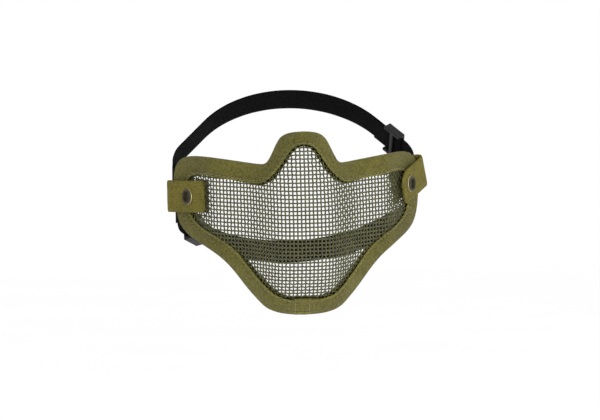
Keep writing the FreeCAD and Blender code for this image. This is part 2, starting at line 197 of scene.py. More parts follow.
# ---- materials ----
class Nodes:
    """Short names for building the node tree of a new material."""

    def __init__(self, name):
        self.material = bpy.data.materials.new(name)
        self.material.use_nodes = True
        self.tree = self.material.node_tree
        self.shader = self.tree.nodes["Principled BSDF"]

    def add(self, kind, **values):
        node = self.tree.nodes.new(kind)
        for key, value in values.items():
            setattr(node, key, value)
        return node

    def link(self, a, b):
        self.tree.links.new(a, b)

    def value(self, socket, value):
        """Set a socket to a number, or link another node's output to it."""
        if isinstance(value, (int, float)):
            socket.default_value = value
        else:
            self.link(value, socket)

    def math(self, operation, a, b=0.0, c=0.0):
        node = self.add("ShaderNodeMath", operation=operation)
        for socket, value in zip(node.inputs, (a, b, c)):
            self.value(socket, value)
        return node.outputs[0]

    def noise(self, vector, scale, detail=3.0, roughness=0.55):
        node = self.add("ShaderNodeTexNoise")
        self.link(vector, node.inputs["Vector"])
        node.inputs["Scale"].default_value = scale
        node.inputs["Detail"].default_value = detail
        node.inputs["Roughness"].default_value = roughness
        return node.outputs["Fac"]

    def ramp(self, factor, stops):
        """Colour ramp; each stop is (position, colour)."""
        node = self.add("ShaderNodeValToRGB")
        self.link(factor, node.inputs[0])
        ramp = node.color_ramp
        while len(ramp.elements) < len(stops):
            ramp.elements.new(0.5)
        for element, (at, colour) in zip(ramp.elements, stops):
            element.position = at
            element.color = (*colour, 1.0)
        return node.outputs[0]

    def mix(self, factor, a, b, blend="MIX"):
        node = self.add("ShaderNodeMix", data_type="RGBA", blend_type=blend)
        self.value(node.inputs[0], factor)
        self.link(a, node.inputs[6])
        if isinstance(b, tuple):
            node.inputs[7].default_value = (*b, 1.0)
        else:
            self.link(b, node.inputs[7])
        return node.outputs[2]

    def bump(self, height, distance, strength=1.0, after=None):
        node = self.add("ShaderNodeBump")
        node.inputs["Strength"].default_value = strength
        node.inputs["Distance"].default_value = distance
        self.link(height, node.inputs["Height"])
        if after is not None:
            self.link(after, node.inputs["Normal"])
        return node.outputs[0]


def scaled(colour, factor):
    """The colour made lighter or darker by a factor."""
    return tuple(channel * factor for channel in colour)


def grey(level):
    """A colour, or a plain value for a ramp, that is the same in all three channels."""
    return (level, level, level)


LIP_SCALE = 60.0             # mm of section, v, that the painted highlight and shade below are spread over
# painted light on the front leaf's rolled edge: a painted highlight over its first 2 mm, then a painted
# shade line in the stitched groove
LIP_HIGHLIGHT_AND_SHADE = ((0.0, (1.5, 1.5, 1.35)), (1.9 / LIP_SCALE, (1.35, 1.35, 1.25)),
             (2.5 / LIP_SCALE, grey(0.5)), (3.6 / LIP_SCALE, grey(1.0)), (1.0, grey(1.0)))
WORN_SHARE = 0.4             # how much of the slow, large fading is mixed in


def woven(name, colour, rib, pick, roughness=0.88, sheen=0.25, contrast=0.35, fuzz=0.5,
          twill=False, lip_light_and_shade=False, gloss=0.15):
    """Woven tape or webbing. UV is in millimetres: u along the tape, v across it.

    rib and pick are the weave's repeats across and along; the lip flag paints a highlight on the tape's
    rolled edge and a shade line in the stitched groove beside it."""
    n = Nodes(name)
    uv = n.add("ShaderNodeUVMap", uv_map="tape").outputs[0]
    split = n.add("ShaderNodeSeparateXYZ")
    n.link(uv, split.inputs[0])
    along, across = split.outputs[0], split.outputs[1]
    wobble = n.noise(uv, scale=0.6, detail=2.0)
    along = n.math("MULTIPLY_ADD", wobble, 0.5, along)
    phase_u = n.math("MULTIPLY", along, 2 * math.pi / pick)
    phase_v = n.math("MULTIPLY", across, 2 * math.pi / rib)
    if twill:
        zigzag = n.math("ABSOLUTE", n.math("SINE", n.math("MULTIPLY", phase_v, 0.25)))
        phase_u = n.math("ADD", phase_u, n.math("MULTIPLY", zigzag, 3.0))
    weave = n.math("MULTIPLY", n.math("SINE", phase_u), n.math("SINE", phase_v))
    ribs = n.math("ABSOLUTE", n.math("SINE", n.math("MULTIPLY", phase_v, 0.5)))
    height = n.math("ADD", n.math("MULTIPLY", weave, 0.5), n.math("MULTIPLY", ribs, 0.7))
    place = n.add("ShaderNodeTexCoord").outputs["Object"]
    fibre = n.noise(place, scale=2600.0, detail=2.0, roughness=0.7)
    blotch = n.noise(place, scale=90.0, detail=4.0, roughness=0.6)
    fade = n.noise(place, scale=22.0, detail=2.0, roughness=0.5)
    slub = n.noise(place, scale=620.0, detail=2.0, roughness=0.6)
    tone = n.math("ADD", n.math("MULTIPLY", height, 0.24), n.math("MULTIPLY", fibre, 0.55))
    tone = n.math("ADD", tone, n.math("MULTIPLY", n.math("SUBTRACT", blotch, 0.5), 0.7))
    tone = n.math("ADD", tone, n.math("MULTIPLY", n.math("SUBTRACT", slub, 0.5), 2.6))
    base = n.ramp(tone, ((0.05, scaled(colour, 1.0 - contrast)), (0.40, colour),
                         (0.80, scaled(colour, 1.0 + contrast))))
    worn = n.ramp(fade, ((0.35, scaled(colour, 0.82)), (0.65, scaled(colour, 1.3))))
    finish = n.mix(WORN_SHARE, base, worn)
    if lip_light_and_shade:
        # painted highlight on the rolled edge and painted shade in the groove, multiplied over the
        # weave's colour
        edge = n.ramp(n.math("DIVIDE", across, LIP_SCALE), LIP_HIGHLIGHT_AND_SHADE)
        finish = n.mix(1.0, finish, edge, "MULTIPLY")
    n.link(finish, n.shader.inputs["Base Color"])
    n.shader.inputs["Roughness"].default_value = roughness
    n.shader.inputs["Sheen Weight"].default_value = sheen
    n.shader.inputs["Sheen Roughness"].default_value = 0.45
    n.shader.inputs["Specular IOR Level"].default_value = gloss
    weave_bump = n.bump(height, distance=0.00030)
    slub_bump = n.bump(slub, distance=0.0008, strength=fuzz, after=weave_bump)
    fibre_bump = n.bump(fibre, distance=0.00018, strength=fuzz, after=slub_bump)
    n.link(fibre_bump, n.shader.inputs["Normal"])
    return n.material


def thread_material(name, colour):
    """Twisted sewing thread."""
    n = Nodes(name)
    place = n.add("ShaderNodeTexCoord").outputs["Object"]
    twist = n.noise(place, scale=1800.0, detail=2.0, roughness=0.6)
    tone = n.ramp(twist, ((0.3, scaled(colour, 0.7)), (0.7, scaled(colour, 1.25))))
    n.link(tone, n.shader.inputs["Base Color"])
    n.shader.inputs["Roughness"].default_value = 0.7
    n.shader.inputs["Sheen Weight"].default_value = 0.2
    n.link(n.bump(twist, distance=0.0001, strength=0.6), n.shader.inputs["Normal"])
    return n.material


def painted_wire():
    """Olive paint over steel wire, with thin spots and rubbed high points."""
    n = Nodes("painted_wire")
    place = n.add("ShaderNodeTexCoord").outputs["Object"]
    blotch = n.noise(place, scale=160.0, detail=4.0, roughness=0.6)
    grain = n.noise(place, scale=1500.0, detail=2.0, roughness=0.6)
    base = n.ramp(blotch, ((0.25, (0.040, 0.040, 0.010)), (0.5, (0.062, 0.062, 0.016)),
                           (0.78, (0.098, 0.096, 0.028))))
    rub = n.ramp(grain, ((0.66, grey(0.0)), (0.74, grey(1.0))))
    bare_steel = (0.16, 0.155, 0.085)
    n.link(n.mix(n.math("MULTIPLY", rub, 0.5), base, bare_steel), n.shader.inputs["Base Color"])
    n.link(n.ramp(grain, ((0.3, grey(0.38)), (0.8, grey(0.62)))), n.shader.inputs["Roughness"])
    n.shader.inputs["Specular IOR Level"].default_value = 0.45
    n.link(n.bump(grain, distance=0.00008, strength=0.5), n.shader.inputs["Normal"])
    return n.material


def lacquered_metal(name, shade):
    """Dull bronze-olive lacquer on the press studs; shade scales all of its colours, which also makes
    the painted-shade and painted-highlight copies.
    """
    n = Nodes(name)
    place = n.add("ShaderNodeTexCoord").outputs["Object"]
    blotch = n.noise(place, scale=350.0, detail=4.0, roughness=0.6)
    scratch = n.noise(place, scale=2200.0, detail=3.0, roughness=0.7)
    dark, middle = (0.040, 0.033, 0.012), (0.085, 0.073, 0.032)
    light, bare = (0.17, 0.15, 0.08), (0.24, 0.22, 0.14)
    base = n.ramp(blotch, ((0.25, scaled(dark, shade)), (0.6, scaled(middle, shade)),
                           (0.85, scaled(light, shade))))
    scratched = n.mix(n.math("MULTIPLY", scratch, 0.2), base, scaled(bare, shade))
    n.link(scratched, n.shader.inputs["Base Color"])
    n.shader.inputs["Metallic"].default_value = 0.9
    n.link(n.ramp(scratch, ((0.3, grey(0.30)), (0.75, grey(0.52)))), n.shader.inputs["Roughness"])
    n.link(n.bump(scratch, distance=0.00005, strength=0.35), n.shader.inputs["Normal"])
    return n.material


def moulded_plastic():
    """Black plastic of the sliders, with a fine moulded grain."""
    n = Nodes("moulded_plastic")
    place = n.add("ShaderNodeTexCoord").outputs["Object"]
    grain = n.noise(place, scale=1600.0, detail=2.0, roughness=0.5)
    soft = n.noise(place, scale=120.0, detail=3.0, roughness=0.5)
    tone = n.ramp(soft, ((0.3, grey(0.005)), (0.7, (0.010, 0.010, 0.011))))
    n.link(tone, n.shader.inputs["Base Color"])
    n.link(n.ramp(grain, ((0.3, grey(0.42)), (0.7, grey(0.6)))), n.shader.inputs["Roughness"])
    n.shader.inputs["Specular IOR Level"].default_value = 0.22
    n.link(n.bump(grain, distance=0.00006, strength=0.5), n.shader.inputs["Normal"])
    return n.material


TAPE = woven("binding_weave", (0.120, 0.108, 0.0235), rib=0.85, pick=1.15, sheen=0.07,
             contrast=0.5, fuzz=0.8, lip_light_and_shade=True)
WEBBING = woven("tab_weave", (0.128, 0.107, 0.0125), rib=1.25, pick=1.6, sheen=0.06,
                contrast=0.45, twill=True)
ELASTIC = woven("elastic_weave", (0.0045, 0.0045, 0.005), rib=1.3, pick=0.8, roughness=0.85,
                sheen=0.0, contrast=0.6, fuzz=0.4, gloss=0.05)
THREAD = thread_material("olive_thread", (0.21, 0.19, 0.075))
BLACK_THREAD = thread_material("black_thread", (0.02, 0.02, 0.02))
WIRE = painted_wire()
# a darker and a lighter copy of the lacquer: painted shade for the cap's sunk middle and a painted
# highlight for its rolled rim
STUD = lacquered_metal("lacquered_metal", shade=0.75)
STUD_SHADE = lacquered_metal("lacquered_metal_shade", shade=0.3)
STUD_HIGHLIGHT = lacquered_metal("lacquered_metal_highlight", shade=5.0)
PLASTIC = moulded_plastic()


# ---- mesh helpers ----
END_STEP = 0.3               # mm of v from point to point on a band's cut end


def make_piece(name, vertices, faces, material, body="mask", uvs=None):
    """New smooth mesh piece; uvs has one (u, v) in millimetres for each corner of each face."""
    mesh = bpy.data.meshes.new(name)
    mesh.from_pydata([tuple(v) for v in vertices], [], faces)
    if uvs is not None:
        layer = mesh.uv_layers.new(name="tape")
        layer.data.foreach_set("uv", [c for face in uvs for corner in face for c in corner])
    mesh.materials.append(material)
    mesh.polygons.foreach_set("use_smooth", [True] * len(mesh.polygons))
    mesh.update()
    piece = bpy.data.objects.new(name, mesh)
    bpy.context.scene.collection.objects.link(piece)
    if body:
        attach(piece, body)
    return piece


def ring_strip(rows, closed, lengths, widths):
    """Quads and UVs over rows that are closed rings; closed joins the last row to the first.

    lengths has the u of each row and widths the v of each point of a ring, in mm."""
    count, across = len(rows), len(rows[0])
    vertices = [v for row in rows for v in row]
    faces, uvs = [], []
    for i in range(count if closed else count - 1):
        for j in range(across):
            k, m = (i + 1) % count, (j + 1) % across
            faces.append((i * across + j, k * across + j, k * across + m, i * across + m))
            u0, u1, v0, v1 = lengths[i], lengths[i + 1], widths[j], widths[j + 1]
            uvs.append(((u0, v0), (u1, v0), (u1, v1), (u0, v1)))
    return vertices, faces, uvs


def cap_ends(faces, uvs, count, across):
    """Close both ends of an open tube that has count rows of across points."""
    faces.append(tuple(range(across)))
    faces.append(tuple((count - 1) * across + j for j in reversed(range(across))))
    edge = tuple((0.0, END_STEP * j) for j in range(across))
    uvs.extend([edge, edge])


def tube(path, radius, sides, vertices, faces, outward):
    """Add a round tube along a path of points to the lists; outward is any way off the path."""
    start = len(vertices)
    count = len(path)
    for i, point in enumerate(path):
        ahead = path[min(i + 1, count - 1)] - path[max(i - 1, 0)]
        ahead.normalize()
        side = ahead.cross(outward).normalized()
        up = side.cross(ahead)
        for j in range(sides):
            angle = 2 * math.pi * j / sides
            spoke = side * (radius * math.cos(angle))
            vertices.append(point + spoke + up * (radius * math.sin(angle)))
    for i in range(count - 1):
        for j in range(sides):
            a = start + i * sides + j
            b = start + i * sides + (j + 1) % sides
            faces.append((a, b, b + sides, a + sides))
    faces.append(tuple(start + j for j in reversed(range(sides))))
    faces.append(tuple(start + (count - 1) * sides + j for j in range(sides)))


# ---- woven wire ----
PITCH, WIRE_R, CRIMP = 3.08, 0.60, 0.56      # mm
WEFT_RISE = 0.11             # the cross wires climb this much for each mm they run back
MIDDLE_ROW = 70.0            # height above the chin of the cross wire that is counted from
WIRE_SHARE = 0.30            # the wires end at this share of the tape's width
WANDER = 0.12                # mm by which a wire strays from its place
STEPS_PER_CELL, WIRE_SIDES = 3, 8
WIRE_OUTWARD = Vector((0.1, -1.0, 0.05))


def arc_positions(curve, start, stop, spacing):
    """Positions from 0 to start and stop that are evenly spaced along a curve's length."""
    result = {0: 0.0}
    for sign, end in ((1, stop), (-1, start)):
        at, run, index = 0.0, 0.0, 0
        step = 0.1
        while abs(at) < abs(end):
            rise = curve(at + sign * step) - curve(at)
            run += math.hypot(step, rise)
            at += sign * step
            if run >= spacing * (index + 1):
                index += 1
                result[sign * index] = at
    return result


def inside_tester(share):
    """A test for flat points that lie inside the outline at a share of the tape's width."""
    corners = 360
    outline = [rim_flat(2.0 * k / corners, share) for k in range(corners)]

    def inside(x, z):
        found = False
        for (x0, z0), (x1, z1) in zip(outline, outline[1:] + outline[:1]):
            if (z0 > z) != (z1 > z) and x < x0 + (z - z0) * (x1 - x0) / (z1 - z0):
                found = not found
        return found
    return inside


def unbroken(points):
    """Runs of more than two neighbouring points; None marks a gap."""
    run = []
    for point in [*points, None]:
        if point is not None:
            run.append(point)
            continue
        if len(run) > 2:
            yield run
        run = []


def woven_wires():
    """The two sets of crimped wires, cut off under the edge tape."""
    warp_x = arc_positions(lambda x: surface_y(x, MIDDLE_ROW), -WING_EDGE, WING_EDGE, PITCH)
    weft_z = arc_positions(lambda z: surface_y(0.0, MIDDLE_ROW + z), -MIDDLE_ROW, CHIN_DROP, PITCH)
    inside = inside_tester(WIRE_SHARE)
    low, high = min(weft_z) - 6, max(weft_z) + 4      # spare rows, since the cross wires climb

    def height(j):
        base = weft_z.get(j)
        if base is None:
            edge = min(weft_z) if j < 0 else max(weft_z)
            base = weft_z[edge] + (j - edge) * PITCH
        return MIDDLE_ROW + base

    def place(i, j, lift):
        """Point on the cloth at column i and row j, which may fall between wires."""
        i0, j0 = math.floor(i), math.floor(j)
        x = warp_x.get(i0, 0.0)
        x += (warp_x.get(i0 + 1, x) - x) * (i - i0)
        z = height(j0) + (height(j0 + 1) - height(j0)) * (j - j0)
        z += WEFT_RISE * (surface_y(x, MIDDLE_ROW) + DEPTH)
        z += WANDER * noise.noise(Vector((i * 0.21, j * 0.17, 3.0)))
        x += WANDER * noise.noise(Vector((i * 0.19, j * 0.23, 9.0)))
        return surface_point(x, z, lift) if inside(x, z) else None

    for name, lines, (first, last), upright in (
            ("warp_wires", sorted(warp_x), (low, high), True),
            ("weft_wires", range(low, high), (min(warp_x), max(warp_x)), False)):
        vertices, faces = [], []
        for line in lines:
            points = []
            for k in range(first * STEPS_PER_CELL, last * STEPS_PER_CELL + 1):
                t = k / STEPS_PER_CELL
                lift = CRIMP * math.cos(math.pi * t) * (1.0 if line % 2 == 0 else -1.0)
                points.append(place(line, t, lift) if upright else place(t, line, -lift))
            for run in unbroken(points):
                tube(run, WIRE_R * MM, WIRE_SIDES, vertices, faces, WIRE_OUTWARD)
        piece = make_piece(name, vertices, faces, WIRE)
        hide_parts("mesh_panel")


# ---- edge tape ----
TAPE_OUT = 2.75              # mm from the middle of the mesh to the front leaf's face
TAPE_STATIONS, FOAM_STATIONS, STITCH_STATIONS = 620, 300, 4000
FRONT_SECTION = (            # share of the width from the fold, height over TAPE_OUT in mm
    (0.985, -0.95), (1.0, -0.60), (0.990, -0.22), (0.955, 0.02), (0.915, -0.10),
    (0.885, -0.62), (0.855, -0.62), (0.815, -0.12), (0.70, 0.10), (0.55, 0.20),
    (0.40, 0.18), (0.25, 0.05), (0.12, -0.20), (0.0, -0.50))
FOLD_SECTION = ((-0.055, 1.75), (-0.10, 0.9), (-0.115, 0.0), (-0.10, -0.9), (-0.055, -1.75))
INNER_SECTION = ((0.88, 1.75), (0.6, 1.9), (0.25, 1.85), (0.06, 1.2))      # the leaf's inner face
FOAM_SECTION = ((0.90, 1.5), (0.5, 1.6), (0.1, 1.2), (0.02, 0.0), (0.1, -1.2), (0.5, -1.6),
                (0.90, -1.5), (0.95, -1.1), (0.93, -0.75), (0.93, 0.75), (0.95, 1.1))
TIGHT_REACH, EXTRA_REACH = 0.84, 0.14      # share of the tape's width at chin and nose, and more
REACH_SPAN = 3.5             # points of RIM over which the tape widens again
GATHER_FROM, GATHER_GAIN = 0.008, 40.0     # bend in 1/mm that starts to gather the tape
STITCH_SHARE, STITCH_PITCH = 0.870, 3.3
STITCH_R, FINE_STITCH_R, STITCH_DIP = 0.26, 0.20, 0.28
LAP_LEFT, LAP_RIGHT = -9.0, 5.0            # x of the overlapped end
LAP_BOTTOM, LAP_TALL = 0.4, 12.6           # z above the chin, and how far up it reaches


def bend_amount(stations, share=0.5):
    """How sharply the rim turns in its own surface at each station, in 1/mm."""
    points = [rim_point(s, share, 0.0) for s in stations]
    count = len(points)
    reach = 4                # stations on each side
    result = []
    for k in range(count):
        a = points[k] - points[k - reach]
        b = points[(k + reach) % count] - points[k]
        result.append(a.angle(b) / (b.length / MM))
    return result


def leaf_reach(s):
    """Share of the tape's width that is used; the tape is drawn in tighter at the chin and nose."""
    from_end = min(RIM_END * min(s, 2.0 - s), RIM_END * abs(1.0 - s))
    return TIGHT_REACH + EXTRA_REACH * smooth(from_end / REACH_SPAN)


def tape_section(s, width_noise, pucker, along):
    """Ring of the folded tape at s: front leaf, fold, rear leaf and the leaves' inner faces."""
    reach = leaf_reach(s)
    front = []
    for place, level in FRONT_SECTION:
        spread = 0.25 + 0.75 * place
        ripple = pucker * math.sin(along * 1.5 + 2.2 * math.sin(place * 5.0 + along * 0.13)) * spread
        lump = 0.16 * noise.noise(Vector((along * 0.22, place * 3.0, 4.0)))
        front.append((reach * place + width_noise * place, TAPE_OUT + level + ripple + lump))
    rear = [(share, -level) for share, level in reversed(front)]
    inner = [(reach * share, level) for share, level in INNER_SECTION]
    back = [(share, -level) for share, level in inner]
    ring = front + list(FOLD_SECTION) + rear + back + [(-0.02, 0.0)] + inner[::-1]
    return [rim_point(s, share, level) for share, level in ring]


def edge_tape():
    """The tape folded over the whole rim, gathered where the rim bends sharply."""
    stations, total = even_stations(0.5, TAPE_STATIONS)
    bends = bend_amount(stations)
    rows, lengths = [], []
    for k, s in enumerate(stations):
        along = total * k / TAPE_STATIONS
        gather = min(1.0, max(0.0, bends[k] - GATHER_FROM) * GATHER_GAIN)
        pucker = 0.07 + 0.36 * gather
        width_noise = 0.022 * noise.noise(Vector((along * 0.06, 1.0, 0.0)))
        width_noise += 0.010 * gather * math.sin(along * 2.1)
        rows.append(tape_section(s, width_noise, pucker, along))
        lengths.append(along)
    lengths.append(total)
    across = len(rows[0])
    widths = [0.0]
    for j in range(across):
        widths.append(widths[-1] + (rows[0][(j + 1) % across] - rows[0][j]).length / MM)
    vertices, faces, uvs = ring_strip(rows, True, lengths, widths)
    piece = make_piece("edge_tape", vertices, faces, TAPE, uvs=uvs)
    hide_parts("edge_binding")


def foam_strip():
    """Dark foam lining that just shows between the tape's lips."""
    stations, total = even_stations(0.5, FOAM_STATIONS)
    rows = []
    for k, s in enumerate(stations):
        row = []
        for share, level in FOAM_SECTION:
            lump = 0.12 * noise.noise(Vector((k * 0.7, share * 9, level)))
            row.append(rim_point(s, share * leaf_reach(s), level + lump))
        rows.append(row)
    lengths = [total * k / FOAM_STATIONS for k in range(FOAM_STATIONS + 1)]
    widths = [1.5 * j for j in range(len(FOAM_SECTION) + 1)]
    vertices, faces, uvs = ring_strip(rows, True, lengths, widths)
    piece = make_piece("foam_lining", vertices, faces, ELASTIC, uvs=uvs)
    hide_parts("edge_foam")


def stitch(vertices, faces, a, b, normal, radius):
    """One thread that rises out of the cloth at a and goes back in at b; radius in mm."""
    dip = STITCH_DIP * MM
    path = [a - normal * dip, a.lerp(b, 0.12) + normal * radius * MM * 0.5,
            a.lerp(b, 0.5) + normal * radius * MM,
            a.lerp(b, 0.88) + normal * radius * MM * 0.5, b - normal * dip]
    tube(path, radius * MM, 6, vertices, faces, normal)


def edge_stitching():
    """Lock stitches near the tape's inner edge, front and rear."""
    vertices, faces = [], []
    stations, total = even_stations(STITCH_SHARE, STITCH_STATIONS)
    count = int(total / STITCH_PITCH)
    per = len(stations) / count
    for side in (1.0, -1.0):
        for k in range(count):
            s0 = stations[int(per * (k + 0.08))]
            s1 = stations[int(per * (k + 0.86))]
            if abs(s0 - s1) > 1.0:
                continue
            drift = 0.012 * random.uniform(-1, 1)
            level = side * (TAPE_OUT - 0.50)
            a = rim_point(s0, (STITCH_SHARE + drift) * leaf_reach(s0), level)
            b = rim_point(s1, (STITCH_SHARE - drift) * leaf_reach(s1), level)
            normal = normal_at(*rim_flat(s0, STITCH_SHARE))
            stitch(vertices, faces, a, b, normal * side, STITCH_R)
    piece = make_piece("edge_stitching", vertices, faces, THREAD)


def lap_join():
    """Overlapped end of the tape at the chin, folded under and stitched down."""
    rows, lengths = [], []
    columns, across = 22, 12
    for i in range(columns + 1):
        x = LAP_LEFT + (LAP_RIGHT - LAP_LEFT) * i / columns
        edge = min(i, columns - i) / columns
        level = TAPE_OUT + 0.12 + 0.55 * (1.0 - math.exp(-edge * 14.0))
        heights = [LAP_BOTTOM + LAP_TALL * j / across for j in range(across + 1)]
        row = []
        for j, z in enumerate(heights):
            swell = 0.3 * math.sin(math.pi * j / across)
            lump = 0.05 * noise.noise(Vector((x, z, 0)))
            row.append(surface_point(x, z, level - 0.45 + swell + lump))
        row += [surface_point(x, z, TAPE_OUT - 0.6) for z in reversed(heights)]
        rows.append(row)
        lengths.append(x)
    size = len(rows[0])
    widths = [j * 1.05 for j in range(size + 1)]
    vertices, faces, uvs = ring_strip(rows, False, lengths, widths)
    cap_ends(faces, uvs, len(rows), size)
    piece = make_piece("tape_lap", vertices, faces, TAPE, uvs=uvs)
    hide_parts("binding_lap")
    lap_stitches()


def lap_stitches():
    """A row of five stitches at each end of the overlap."""
    vertices, faces = [], []
    inset, level = 1.6, TAPE_OUT + 0.5
    for x in (LAP_LEFT + inset, LAP_RIGHT - inset):
        for k in range(5):
            z = 1.6 + 2.3 * k
            a, b = surface_point(x, z, level), surface_point(x, z + 1.8, level)
            stitch(vertices, faces, a, b, normal_at(x, z), FINE_STITCH_R)
    make_piece("lap_stitching", vertices, faces, THREAD)


# ---- tabs and press studs ----
WEB_WIDTH, WEB_THICK = 25.0, 1.4
FRONT_LEG = {"left": 47.0, "right": 40.0}
REAR_LEG = 36.0
TAB_HEIGHT = {"left": 3.0, "right": 18.0}
TAB_TILT = {"left": 0.0, "right": 20.0}
FOLD_STANDOFF = {"left": 0.5, "right": 1.0}
FLAP_LEVEL, BASE_LEVEL = 6.6, -4.4         # mid-thickness of the two legs
STUD_REACH = 26.0                          # fold to press stud
TAB_CORNERS = {              # length and depth of the cut corners, upper (1) and lower (-1)
    "left": {1: (2.2, 1.4), -1: (2.2, 1.4)}, "right": {1: (4.0, 2.6), -1: (15.0, 9.5)}}
REAR_STEPS, FOLD_STEPS, FRONT_STEPS = 12, 16, 26
FRONT_FROM = REAR_STEPS + FOLD_STEPS       # first point of the outer leg in tab_outline
BAND_EDGE = 0.97             # past this share of its half width a band thins out
SLOPE = sum(knee[0] for knee in KNEES)     # of the wings, Y over |x|
INWARD = Vector((-1.0, -SLOPE, 0.0)).normalized()
OUTWARD = Vector((SLOPE, -1.0, 0.0)).normalized()


def tab_point(side, along, up, out):
    """A place in the tab's own frame, in mm, as a point in metres."""
    tilt = math.radians(TAB_TILT[side])
    ahead = INWARD * math.cos(tilt) - Vector((0, 0, 1)) * math.sin(tilt)
    upward = OUTWARD.cross(ahead)
    edge = Vector((WING_EDGE, surface_y(WING_EDGE, TAB_HEIGHT[side] + CHIN_DROP), TAB_HEIGHT[side]))
    point = edge - INWARD * FOLD_STANDOFF[side] + ahead * along + upward * up + OUTWARD * out
    if side == "left":
        point.x = -point.x
    return point * MM


def tab_outline(side):
    """Middle line of the webbing: (along, out, normal along, normal out).

    It runs from the end of the inner leg, round the fold, to the end of the outer leg."""
    middle = (FLAP_LEVEL + BASE_LEVEL) / 2
    radius = (FLAP_LEVEL - BASE_LEVEL) / 2
    points = [(REAR_LEG * (1 - k / REAR_STEPS), BASE_LEVEL, 0.0, -1.0) for k in range(REAR_STEPS + 1)]
    for k in range(1, FOLD_STEPS):
        angle = -math.pi / 2 - math.pi * k / FOLD_STEPS
        ahead, out = math.cos(angle), math.sin(angle)
        points.append((ahead * radius, middle + out * radius, ahead, out))
    for k in range(FRONT_STEPS + 1):
        points.append((FRONT_LEG[side] * k / FRONT_STEPS, FLAP_LEVEL, 0.0, 1.0))
    return points


def tab_edge(side, along, w):
    """Distance of the outer leg's edge from its middle line; its free end has cut corners."""
    corner, depth = TAB_CORNERS[side][1 if w > 0 else -1]
    left = FRONT_LEG[side] - along
    if left >= corner:
        return WEB_WIDTH / 2
    share = max(0.0, left / corner)
    return WEB_WIDTH / 2 - depth * (1.0 - math.sqrt(1.0 - (1.0 - share) ** 2))


def band_section(steps, thin):
    """Ring of (place across from -1 to 1, share of half the thickness), thin at its edges."""
    top = []
    for k in range(steps + 1):
        w = 2.0 * k / steps - 1.0
        top.append((w, 1.0 if abs(w) < BAND_EDGE else thin))
    return top + [(w, -t) for w, t in reversed(top)]


def band_widths(section, width):
    """V of each point of a band's section, in mm: the upper face, then the lower one."""
    half = len(section) // 2
    upper = [(w + 1.0) * width / 2 for w, _ in section[:half]]
    lower = [width + 1.0 + (1.0 - w) * width / 2 for w, _ in section[half:]]
    return upper + lower + [2 * width + 2.0]


def tab_webbing(side):
    """The folded webbing of one tab, from the end of its inner leg round the fold to the end of its
    outer leg.
    """
    outline = tab_outline(side)
    section = band_section(12, thin=0.35)
    rows, lengths = [], [0.0]
    for k, (along, out, nx, nz) in enumerate(outline):
        outer = k >= FRONT_FROM
        row = []
        for w, t in section:
            half = tab_edge(side, along, w) if outer else WEB_WIDTH / 2
            ripple = 0.14 * noise.noise(Vector((along * 0.13 + 5.0 * nz, w * 1.4, 2.0)))
            curl = 0.25 * smooth((along - FRONT_LEG[side] + 7) / 7) * w * w if outer else 0.0
            shift = WEB_THICK / 2 * t + ripple + curl
            row.append(tab_point(side, along + nx * shift, w * half, out + nz * shift))
        rows.append(row)
        if k:
            before = outline[k - 1]
            lengths.append(lengths[-1] + math.hypot(along - before[0], out - before[1]))
    vertices, faces, uvs = ring_strip(rows, False, lengths, band_widths(section, WEB_WIDTH))
    cap_ends(faces, uvs, len(rows), len(section))
    piece = make_piece(side + "_tab_webbing", vertices, faces, WEBBING, body=None, uvs=uvs)
    tuple(tab_point(side, 0, 0, 3.6))
    tuple(tab_point(side, 0, 0, FLAP_LEVEL - WEB_THICK / 2 - 0.2))
    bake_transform(piece)
    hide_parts(side + "_tab_base", side + "_tab_flap")


def turned(name, node, profile, side, body, recess=0, wall=()):
    """Round piece about the stud's axis from (radius, level) pairs, in place of a CAD node.

    The first faces of the profile, as many as recess says, are the sunk middle and get painted shade;
    wall holds the first and last of the faces on the rolled rim that get a painted highlight."""
    segments = 48
    rows = []
    for k in range(segments):
        angle = 2 * math.pi * k / segments
        row = []
        for r, level in profile:
            row.append(tab_point(side, STUD_REACH + r * math.cos(angle), r * math.sin(angle), level))
        rows.append(row)
    vertices, faces, _ = ring_strip(rows, True, [0.0] * (segments + 1), [0.0] * (len(profile) + 1))
    piece = make_piece(name, vertices, faces, STUD, body)
    if recess:
        # painted shade on the sunk middle and a painted highlight on the rolled rim's faces
        piece.data.materials.append(STUD_SHADE)
        piece.data.materials.append(STUD_HIGHLIGHT)
        for face in piece.data.polygons:
            step = face.index % len(profile)
            face.material_index = 1 if step < recess else 2 if wall[0] <= step <= wall[1] else 0
    clean = bmesh.new()
    clean.from_mesh(piece.data)
    bmesh.ops.remove_doubles(clean, verts=clean.verts, dist=MERGE_DISTANCE)
    bmesh.ops.recalc_face_normals(clean, faces=clean.faces)
    clean.to_mesh(piece.data)
    clean.free()
    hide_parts(node)


def arc_profile(cx, cz, radius, start, stop, steps):
    """Points on an arc of a turned profile; the angles are in degrees."""
    points = []
    for k in range(steps + 1):
        angle = math.radians(start + (stop - start) * k / steps)
        points.append((cx + radius * math.cos(angle), cz + radius * math.sin(angle)))
    return points


